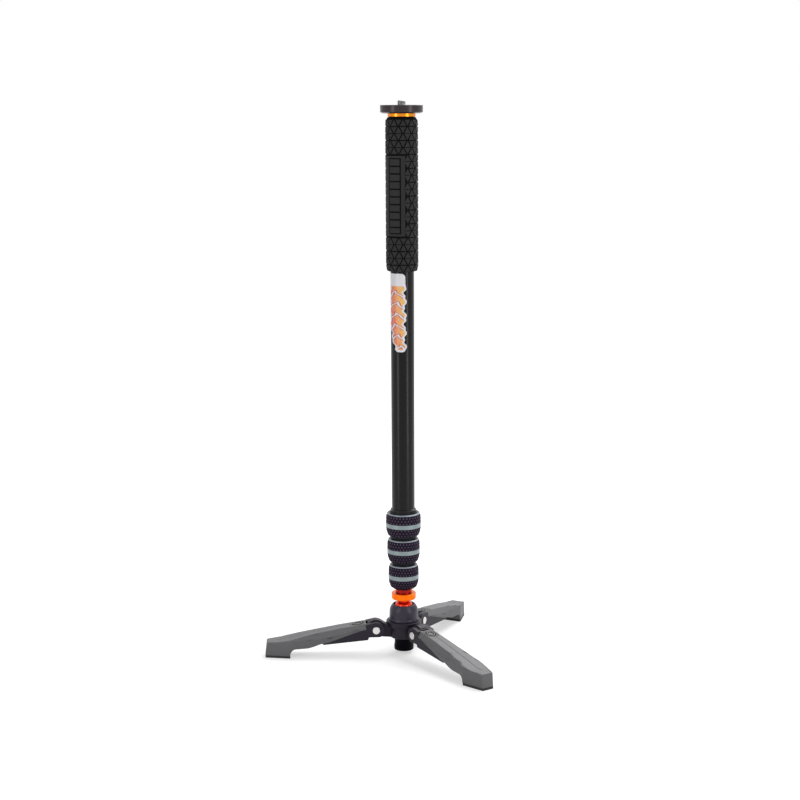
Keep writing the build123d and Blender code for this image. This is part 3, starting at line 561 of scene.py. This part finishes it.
def triangle_pad(name, width, height, inset, side_inset, rise, points_up, top_share):
    """A flat-topped triangular pad with sloping sides, lying on the sheet.

    Its cell is width by height, and it keeps an inset from the cell's ends and a
    side_inset from its sides. Its top is a share of its foot.
    """
    bpy.ops.object.select_all(action="DESELECT")
    bpy.ops.mesh.primitive_cylinder_add(
        vertices=3, radius=1, depth=1, end_fill_type="NGON", enter_editmode=True
    )
    if not points_up:
        bpy.ops.transform.rotate(
            value=pi, orient_axis="Z", orient_type="GLOBAL", center_override=(0, 0, 0)
        )
    bpy.ops.mesh.select_all(action="DESELECT")
    bpy.ops.object.mode_set(mode="OBJECT")
    pad = bpy.context.object
    pad.name = name
    for face in pad.data.polygons:
        face.select = face.normal.z > 0.9
    bpy.ops.object.mode_set(mode="EDIT")
    bpy.ops.transform.resize(value=(top_share, top_share, 1))
    bpy.ops.object.mode_set(mode="OBJECT")
    low = min(vertex.co.y for vertex in pad.data.vertices)
    high = max(vertex.co.y for vertex in pad.data.vertices)
    half = max(vertex.co.x for vertex in pad.data.vertices)
    for vertex in pad.data.vertices:
        x, y, z = vertex.co
        vertex.co = (
            x / half * (width / 2 - side_inset),
            inset + (y - low) / (high - low) * (height - 2 * inset),
            (z + 0.5) * rise,
        )
    return pad


def copies(pad, places):
    """Copies of a pad at places on the sheet, in place of the pad itself."""
    made = []
    for place in places:
        twin = pad.copy()
        twin.data = pad.data.copy()
        twin.location = (*place, 0)
        bpy.context.scene.collection.objects.link(twin)
        made.append(twin)
    bpy.data.objects.remove(pad)
    return made


def joined(parts, name):
    """Joins objects to one, with its place in its mesh."""
    bpy.ops.object.select_all(action="DESELECT")
    for part in parts:
        part.select_set(True)
    bpy.context.view_layer.objects.active = parts[0]
    bpy.ops.object.join()
    bpy.ops.object.transform_apply(location=True, rotation=True, scale=True)
    sheet = bpy.context.object
    sheet.name = name
    return sheet


def rolled(sheet, radius_at, start_angle, width):
    """Rolls a sheet round the column: its width becomes a full turn."""
    for vertex in sheet.data.vertices:
        across, height, rise = vertex.co
        angle = start_angle + across / width * 2 * pi
        radius = radius_at(height) + rise
        vertex.co = (radius * sin(angle), -radius * cos(angle), height)
    select_only(sheet)
    bpy.ops.object.mode_set(mode="EDIT")
    bpy.ops.mesh.select_all(action="SELECT")
    bpy.ops.mesh.normals_make_consistent(inside=False)
    bpy.ops.object.mode_set(mode="OBJECT")
    return sheet


def twin_of(node, name):
    """A free copy of a solid."""
    twin = nodes[node].copy()
    twin.data = nodes[node].data.copy()
    twin.name = name
    twin.parent = None
    for key in list(twin.keys()):
        del twin[key]
    bpy.context.scene.collection.objects.link(twin)
    return twin


def merge_points(piece):
    """Joins the points of an object that share a place, and leaves it selected."""
    select_only(piece)
    bpy.ops.object.mode_set(mode="EDIT")
    bpy.ops.mesh.select_all(action="SELECT")
    bpy.ops.mesh.remove_doubles(threshold=0.000005)
    bpy.ops.object.mode_set(mode="OBJECT")


# %% [markdown]
# ## The grip
#
# The rubber grip is a sleeve with eleven columns of diamonds, each cut into
# two triangles, with a groove every second row. Its sleeve is turned from a
# profile, and the triangles stand on it as pads: each row is shifted a little
# away from the groove. On the front left a plain panel takes the place of some
# of the pads.

# %% Turn the sleeve
grip_low, grip_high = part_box("hand_grip")
grip_radius = grip_high.x
relief_depth = 0.95 * mm
groove_shift = 0.16 * mm
row_height = 8.345 * mm
row_count = 22
row_inset, side_inset = 0.16 * mm, 1.25 * mm
pad_top_share = 0.86
top_groove_drop = 11.1 * mm
diamond_count = 11
end_run, end_drop = 7.0 * mm, 2.6 * mm
end_lip, end_step = 0.5 * mm, 1.8 * mm
profile_steps = 60
pattern_foot = grip_high.z - top_groove_drop - (row_count - 1) * row_height


def grip_skin(height):
    """Radius of the grip's outer surface at a height, with its rounded ends."""
    reach = min(height - grip_low.z, grip_high.z - height)
    share = max(0.0, 1 - max(reach, 0) / end_run)
    return grip_radius - end_drop * (1 - (1 - share**2) ** 0.5)


def turned_shell(name, profile, steps=96):
    """A closed shell turned round the column from a list of radius and height."""
    mesh = bpy.data.meshes.new(name)
    points = [(radius, 0, height) for radius, height in profile]
    edges = [(i, (i + 1) % len(points)) for i in range(len(points))]
    mesh.from_pydata(points, edges, [])
    shell = bpy.data.objects.new(name, mesh)
    bpy.context.scene.collection.objects.link(shell)
    select_only(shell)
    bpy.ops.object.mode_set(mode="EDIT")
    bpy.ops.mesh.select_all(action="SELECT")
    bpy.ops.mesh.spin(steps=steps, angle=2 * pi, center=(0, 0, 0), axis=(0, 0, 1))
    bpy.ops.mesh.select_all(action="SELECT")
    bpy.ops.mesh.remove_doubles(threshold=0.00001)
    bpy.ops.mesh.normals_make_consistent(inside=False)
    bpy.ops.object.mode_set(mode="OBJECT")
    bpy.ops.object.shade_smooth_by_angle(angle=radians(35))
    return shell


tube_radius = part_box("tube_1")[1].x
rise = grip_high.z - grip_low.z
heights = [grip_low.z + rise * step / profile_steps for step in range(profile_steps + 1)]
heights = [grip_low.z + end_lip, *heights[1:-1], grip_high.z - end_lip]
profile = [
    (tube_radius, grip_low.z),
    (grip_skin(grip_low.z) - end_step, grip_low.z),
    *((grip_skin(height) - relief_depth, height) for height in heights),
    (grip_skin(grip_high.z) - end_step, grip_high.z),
    (tube_radius, grip_high.z),
]
grip_sleeve = turned_shell("grip_sleeve", profile)
# The sleeve shows only in the grooves, so its darker rubber is painted shade.
grip_sleeve.data.materials.append(mould["grip_groove_shade"])
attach(grip_sleeve, "upper_section")
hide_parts("hand_grip")
print("sleeve faces:", len(grip_sleeve.data.polygons))

# %% Set the triangles on the sleeve
grip_width = 2 * pi * grip_radius
diamond_width = grip_width / diamond_count
pattern_turn = 4.9
first_diamond = radians(pattern_turn + 180 / diamond_count)
first_panel_row, last_panel_row = 5, 17
panel_low = pattern_foot + first_panel_row * row_height
panel_high = pattern_foot + last_panel_row * row_height
panel_left, panel_right = radians(-67), radians(-4)
panel_margin = radians(11)


def in_panel(across, height):
    """True where the plain panel takes the place of pads."""
    angle = (across / grip_width * 2 * pi + first_diamond + pi) % (2 * pi) - pi
    level = panel_low < height < panel_high
    return level and panel_left - panel_margin < angle < panel_right + panel_margin


up_places, down_places = [], []
for row in range(row_count):
    height = pattern_foot + row * row_height + (groove_shift if row % 2 else -groove_shift)
    for column in range(diamond_count):
        for half_step in (0, 1):
            across = (column + half_step / 2) * diamond_width
            points_up = (row + half_step) % 2 == 0
            if in_panel(across, height + row_height / 2):
                continue
            (up_places if points_up else down_places).append((across, height))
pads = []
for points_up, places in ((True, up_places), (False, down_places)):
    pad = triangle_pad(
        "pad",
        diamond_width,
        row_height,
        row_inset,
        side_inset,
        relief_depth,
        points_up,
        pad_top_share,
    )
    pads += copies(pad, places)
grip_pads = rolled(
    joined(pads, "grip_pads"),
    lambda height: grip_skin(height) - relief_depth,
    first_diamond,
    grip_width,
)
grip_pads.data.materials.append(mould["grip_rubber"])
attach(grip_pads, "upper_section")
print("pads:", len(up_places) + len(down_places))

# %% [markdown]
# ## The plain panel of the grip
#
# A panel with a column of plain raised blocks lies between the pads. It
# starts as a flat grid whose points are lifted on the blocks and sunk in the
# grooves round them, and then it is rolled like the pads. Its field runs on
# under the next pads, so that no gap shows at its sides.

# %% Mould the panel
bpy.ops.object.select_all(action="DESELECT")
bpy.ops.mesh.primitive_grid_add(x_subdivisions=64, y_subdivisions=220, size=1)
panel = bpy.context.object
panel.name = "grip_panel"
field_left, field_right = radians(-86), radians(12)
column_left, column_right = radians(-52), radians(-4)
end_margin, groove_width = 3.0 * mm, 1.3 * mm
block_pitch, block_height = 9.2 * mm, 7.7 * mm
field_lift, block_lift = 0.40 * mm, 0.40 * mm
groove_sink, edge_sink = 0.35 * mm, 0.3 * mm
end_gap = 2.4 * mm
panel_width = (field_right - field_left) * grip_radius
panel_middle = (field_left + field_right) / 2
panel_height = panel_high - panel_low - end_gap


def panel_lift(x, y):
    """Height of the panel's skin over its field, at a place from -0.5 to 0.5."""
    angle = panel_middle + x * (field_right - field_left)
    inside = min(angle - column_left, column_right - angle) * grip_radius
    end = (0.5 - abs(y)) * panel_height - end_margin
    if end < -end_margin * 0.9:
        return -edge_sink
    if min(inside, end) < 0:
        return 0
    clear_of_rim = min(inside, end) > groove_width
    on_block = clear_of_rim and (y * panel_height) % block_pitch < block_height
    return block_lift if on_block else -groove_sink


# The panel's sunk faces take the darker rubber: painted shade in its grooves.
for face in panel.data.polygons:
    face.material_index = panel_lift(face.center.x, face.center.y) < 0
for vertex in panel.data.vertices:
    x, y, _ = vertex.co
    vertex.co = (
        x * panel_width,
        (panel_low + panel_high) / 2 + y * panel_height,
        panel_lift(x, y),
    )
field_radius = grip_radius - relief_depth + field_lift
rolled(panel, lambda height: field_radius, panel_middle, grip_width)
panel.data.materials.append(mould["grip_rubber"])
panel.data.materials.append(mould["grip_groove_shade"])
select_only(panel)
bpy.ops.object.shade_smooth_by_angle(angle=radians(50))
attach(panel, "upper_section")

# %% [markdown]
# ## The rubber bands of the locks
#
# Each twist lock has two bands of dark rubber with rows of small triangles
# for the fingers. The bands bulge, so the rows follow the measured solid: a
# ray that is shot at it from outside gives its radius at each height. The
# solid's copy is drawn in a little, and the triangles bring it back out.

# %% Make the bands and their triangles
band_relief = 0.45 * mm
band_columns = 32
band_rows = 3
band_margin = 0.25 * mm
tip_inset, tip_side_inset = 0.55 * mm, 0.85 * mm
tip_top_share = 0.60


def skin_measure(node):
    """A function that gives the radius of a solid's outside at a height."""
    mesh = nodes[node].data
    faces = [tuple(face.vertices) for face in mesh.polygons]
    tree = BVHTree.FromPolygons([vertex.co.copy() for vertex in mesh.vertices], faces)

    def radius_at(height):
        place = tree.ray_cast(Vector((0, -0.1, height)), Vector((0, 1, 0)))[0]
        return -place.y if place and place.y < 0 else None

    return radius_at


def drawn_in(node, depth, name):
    """A copy of a solid whose outside is moved in."""
    twin = twin_of(node, name)
    for vertex in twin.data.vertices:
        radius = (vertex.co.x**2 + vertex.co.y**2) ** 0.5
        vertex.co.x *= 1 - depth / radius
        vertex.co.y *= 1 - depth / radius
    merge_points(twin)
    bpy.ops.object.shade_smooth_by_angle(angle=radians(35))
    return twin


for lock in locks:
    node = f"lock_{lock}_grip"
    body = f"lock_{lock}_nut"
    low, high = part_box(node)
    band = drawn_in(node, band_relief, f"lock_{lock}_band")
    band.data.materials.clear()
    band.data.materials.append(mould["band_rubber"])
    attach(band, body)
    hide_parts(node)
    round_width = 2 * pi * high.x
    column_width = round_width / band_columns
    row_places = []
    upper_band = (high.z - upper_rubber * mm, high.z)
    lower_band = (low.z, low.z + lower_rubber * mm)
    for foot, head in (upper_band, lower_band):
        row = (head - foot - 2 * band_margin) / band_rows
        row_places += [(foot + band_margin + row * step, row) for step in range(band_rows)]
    parts = []
    for step, (height, row) in enumerate(row_places):
        for flip in (0, 1):
            pad = triangle_pad(
                "tip",
                column_width,
                row,
                tip_inset,
                tip_side_inset,
                band_relief,
                flip == 0,
                tip_top_share,
            )
            # Half the triangles are pale as painted light on their tips; the others match the
            # band.
            pad.data.materials.append(mould["band_rubber" if flip else "band_tips_painted_light"])
            places = [
                ((column + (step + flip) % 2 / 2) * column_width, height)
                for column in range(band_columns)
            ]
            parts += copies(pad, places)
    tips = joined(parts, f"lock_{lock}_tips")
    measure = skin_measure(node)
    heights = {round(vertex.co.y, 6) for vertex in tips.data.vertices}
    radii = {height: (measure(height) or high.x) - band_relief for height in heights}
    rolled(tips, lambda height, radii=radii: radii[round(height, 6)], 0, round_width)
    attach(tips, body)
    print("lock", lock, "tips:", len(parts))

# %% [markdown]
# ## The sticker
#
# A white sticker with a bright print is wrapped round the left of the upper
# tube. Its place, its size and its colours follow the photograph, its head is a
# plain white label, and its print is a stack of chevrons. The patch is an
# upright line that is spun a third of a turn, a hair outside the tube, and its
# wavy edge is cut by the print's alpha.

# %% Spin the patch
patch_low, patch_high = 388.0 * mm, 486.0 * mm
patch_left, patch_right = radians(-96), radians(21)
patch_radius = tube_radius + 0.12 * mm
mesh = bpy.data.meshes.new("tube_sticker")
steps = 40
start = (patch_radius * sin(patch_left), -patch_radius * cos(patch_left))
upright = [
    (*start, patch_low + (patch_high - patch_low) * step / steps) for step in range(steps + 1)
]
mesh.from_pydata(upright, [(i, i + 1) for i in range(steps)], [])
sticker = bpy.data.objects.new("tube_sticker", mesh)
bpy.context.scene.collection.objects.link(sticker)
select_only(sticker)
bpy.ops.object.mode_set(mode="EDIT")
bpy.ops.mesh.select_all(action="SELECT")
bpy.ops.mesh.spin(
    steps=32, angle=patch_left - patch_right, center=(0, 0, 0), axis=(0, 0, 1)
)
bpy.ops.mesh.select_all(action="SELECT")
bpy.ops.mesh.normals_make_consistent(inside=False)
bpy.ops.object.mode_set(mode="OBJECT")
bpy.ops.object.shade_smooth()
middle = sticker.data.polygons[len(sticker.data.polygons) // 2]
if middle.normal.x * middle.center.x + middle.normal.y * middle.center.y < 0:
    sticker.data.flip_normals()
print("sticker box:", [round(v, 4) for v in sticker.bound_box[0]], len(mesh.polygons))

# %% Print the chevrons
ink = Finish("sticker_print")
across_x, across_y, up_z = ink.parts()
turned = ink.maths("ARCTAN2", across_x, across_y * -1)
arc = turned * (patch_radius / mm) - (patch_left + patch_right) / 2 * patch_radius / mm
level = up_z - (patch_low + patch_high) / 2 / mm
half_arc = (patch_right - patch_left) / 2 * patch_radius / mm
half_rise = (patch_high - patch_low) / 2 / mm
cut_corner, field_corner = 5.0, 3.5
chevron_pitch, chevron_slope = 13.5, 0.75


def rounded_mask(finish, x, y, half_x, half_y, radius, soft):
    """1 inside a rounded rectangle, 0 outside."""
    out_x = finish.maths("MAXIMUM", x.size() - (half_x - radius), 0.0)
    out_y = finish.maths("MAXIMUM", y.size() - (half_y - radius), 0.0)
    far = finish.maths("POWER", out_x * out_x + out_y * out_y, 0.5)
    return 1 - far.ramp(radius - soft, radius + soft)


# Below the label the cut wanders in waves, and the print narrows to its foot.
label_height = 15.0
foot_run, foot_taper, side_taper = 42.0, 5.0, 1.2
label_foot = half_rise - label_height
below_label = 1 - level.ramp(label_foot - 2.0, label_foot + 2.0)
wobble = ((level * 0.33).sine() * 1.6 + (level * 0.81).sine() * 0.9) * below_label
foot = 1 - level.ramp(-half_rise, -half_rise + foot_run)
taper = foot * foot_taper + below_label * side_taper
print_arc = arc + wobble - taper
cut_size = (half_arc - 1.6 - taper, half_rise - 0.6)
cut = rounded_mask(ink, print_arc, level, *cut_size, cut_corner, 0.15)
field_size = (half_arc - 4.2 - taper, half_rise - 3.4)
field = rounded_mask(ink, print_arc, level, *field_size, field_corner, 0.4)
field = field * (1 - level.ramp(label_foot - 1.5, label_foot - 0.5))
chevron = (level + print_arc.size() * chevron_slope).wrapped(chevron_pitch)
bar = chevron.between((1.8, 2.4), (10.8, 11.4))
outline_bar = chevron.between((0.6, 1.1), (12.0, 12.5))
share = arc / half_arc * 0.5 + 0.5 + level / half_rise * 0.12
warm = ink.blend(share.ramp(0.25, 0.62), (0.84, 0.13, 0.13), (0.93, 0.33, 0.09))
warm = ink.blend(share.ramp(0.55, 0.90), warm, (0.92, 0.55, 0.12))
speck = ink.noise(0.9, (1, 1, 1), 2.0).ramp(0.52, 0.56)
warm = ink.blend(speck * 0.35, warm, (0.95, 0.80, 0.70))
printed = ink.blend(field * outline_bar, (0.83, 0.82, 0.86), (0.55, 0.14, 0.12))
printed = ink.blend(field * bar, printed, warm)
sticker_print = ink.dress(base_color=printed, roughness=0.35, alpha=cut, specular=0.4)
sticker.data.materials.append(sticker_print)
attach(sticker, "upper_section")

# %% [markdown]
# ## Softening the legs' edges
#
# The leg covers are mouldings, and no moulded edge is truly sharp: each one
# catches a thin line of light. A merged copy of each cover gets a small bevel
# on its hard edges, and it then stands for the solid. The buttons get one too,
# with dark edges that are painted shade for the gap round them.

# %% Finish the covers, with their moulded grooves and the painted shade in them
leg_turns = {"left": 184.6, "front": 304.6, "back": 64.6}
button_centre = 59.0
button_reach, button_half = 7.7, 6.3
cover_edge, button_edge = 0.8 * mm, 0.45 * mm
button_share = 0.965


def cover_finish(leg):
    """Grey moulding with a fine sunk stripe down its roof and an oval ring sunk round its button,
    both bumped and darkened with painted shade.
    """
    skin = Finish(f"{leg}_cover_grey")
    turned = skin.node(
        "ShaderNodeMapping",
        {"vector_type": "POINT"},
        {"Vector": skin.point, "Rotation": (0, 0, -radians(leg_turns[leg]))},
    )
    along, off_line, _ = skin.parts(turned)
    across = off_line.size()
    stretch = along.between((69.0, 74.0), (160.0, 166.0))
    roof_groove_and_shade = (1 - across.ramp(0.30, 0.80)) * stretch
    run = (along - button_centre) / button_reach
    side = across / button_half
    ring = skin.maths("SQRT", run * run + side * side)
    moat_and_shade = ring.between((1.18, 1.24), (1.42, 1.50))
    grooves_and_shade = skin.highest(roof_groove_and_shade, moat_and_shade)
    grain = skin.noise(2.6, (1, 1, 1), 4.0, 0.65)
    cloud = skin.noise(0.06, (1, 1, 1), 3.0)
    tone = skin.blend(grain * 0.6 + cloud * 0.4, (0.082, 0.082, 0.086), (0.130, 0.130, 0.135))
    # The stripe and the ring round the button are bumped and also darkened: painted shade in
    # them.
    tone = skin.blend(grooves_and_shade * 0.85, tone, (0.014, 0.013, 0.016))
    return skin.dress(
        base_color=tone,
        roughness=grain * 0.12 + 0.46,
        specular=0.52,
        normal=skin.relief(grain * 0.12 - grooves_and_shade, 0.4),
    )


# %% Bevel the covers and the buttons
def softened(node, width, material, name, gap_shade=None):
    """A copy of a solid with its hard edges rounded, with painted shade on the new edge faces
    where a dark material is given.
    """
    twin = twin_of(node, name)
    merge_points(twin)
    bevel = twin.modifiers.new("soft_edges", "BEVEL")
    bevel.width = width
    bevel.segments = 3
    bevel.limit_method = "ANGLE"
    bevel.angle_limit = radians(12)
    bevel.use_clamp_overlap = False
    twin.data.materials.clear()
    twin.data.materials.append(material)
    # The bevel's new faces take the dark material: painted shade in the gap round a button.
    if gap_shade:
        twin.data.materials.append(gap_shade)
        bevel.material = 1
    bpy.ops.object.modifier_apply(modifier="soft_edges")
    bpy.ops.object.shade_smooth_by_angle(angle=radians(30))
    return twin


for leg in leg_names:
    cover = softened(f"{leg}_leg_cover", cover_edge, cover_finish(leg), f"{leg}_cover_shell")
    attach(cover, f"{leg}_leg")
    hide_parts(f"{leg}_leg_cover")
    button = softened(
        f"{leg}_release_button",
        button_edge,
        mould["cover_grey"],
        f"{leg}_button_cap",
        mould["gap_painted_shade"],
    )
    low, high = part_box(f"{leg}_release_button")
    middle = (low + high) / 2
    for vertex in button.data.vertices:
        vertex.co = middle + (vertex.co - middle) * button_share
    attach(button, f"{leg}_button")
    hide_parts(f"{leg}_release_button")

# %% Smooth the round solids and finish
for name, solid in nodes.items():
    if "cover" in name:
        continue
    select_only(solid)
    bpy.ops.object.shade_smooth_by_angle(angle=radians(28))
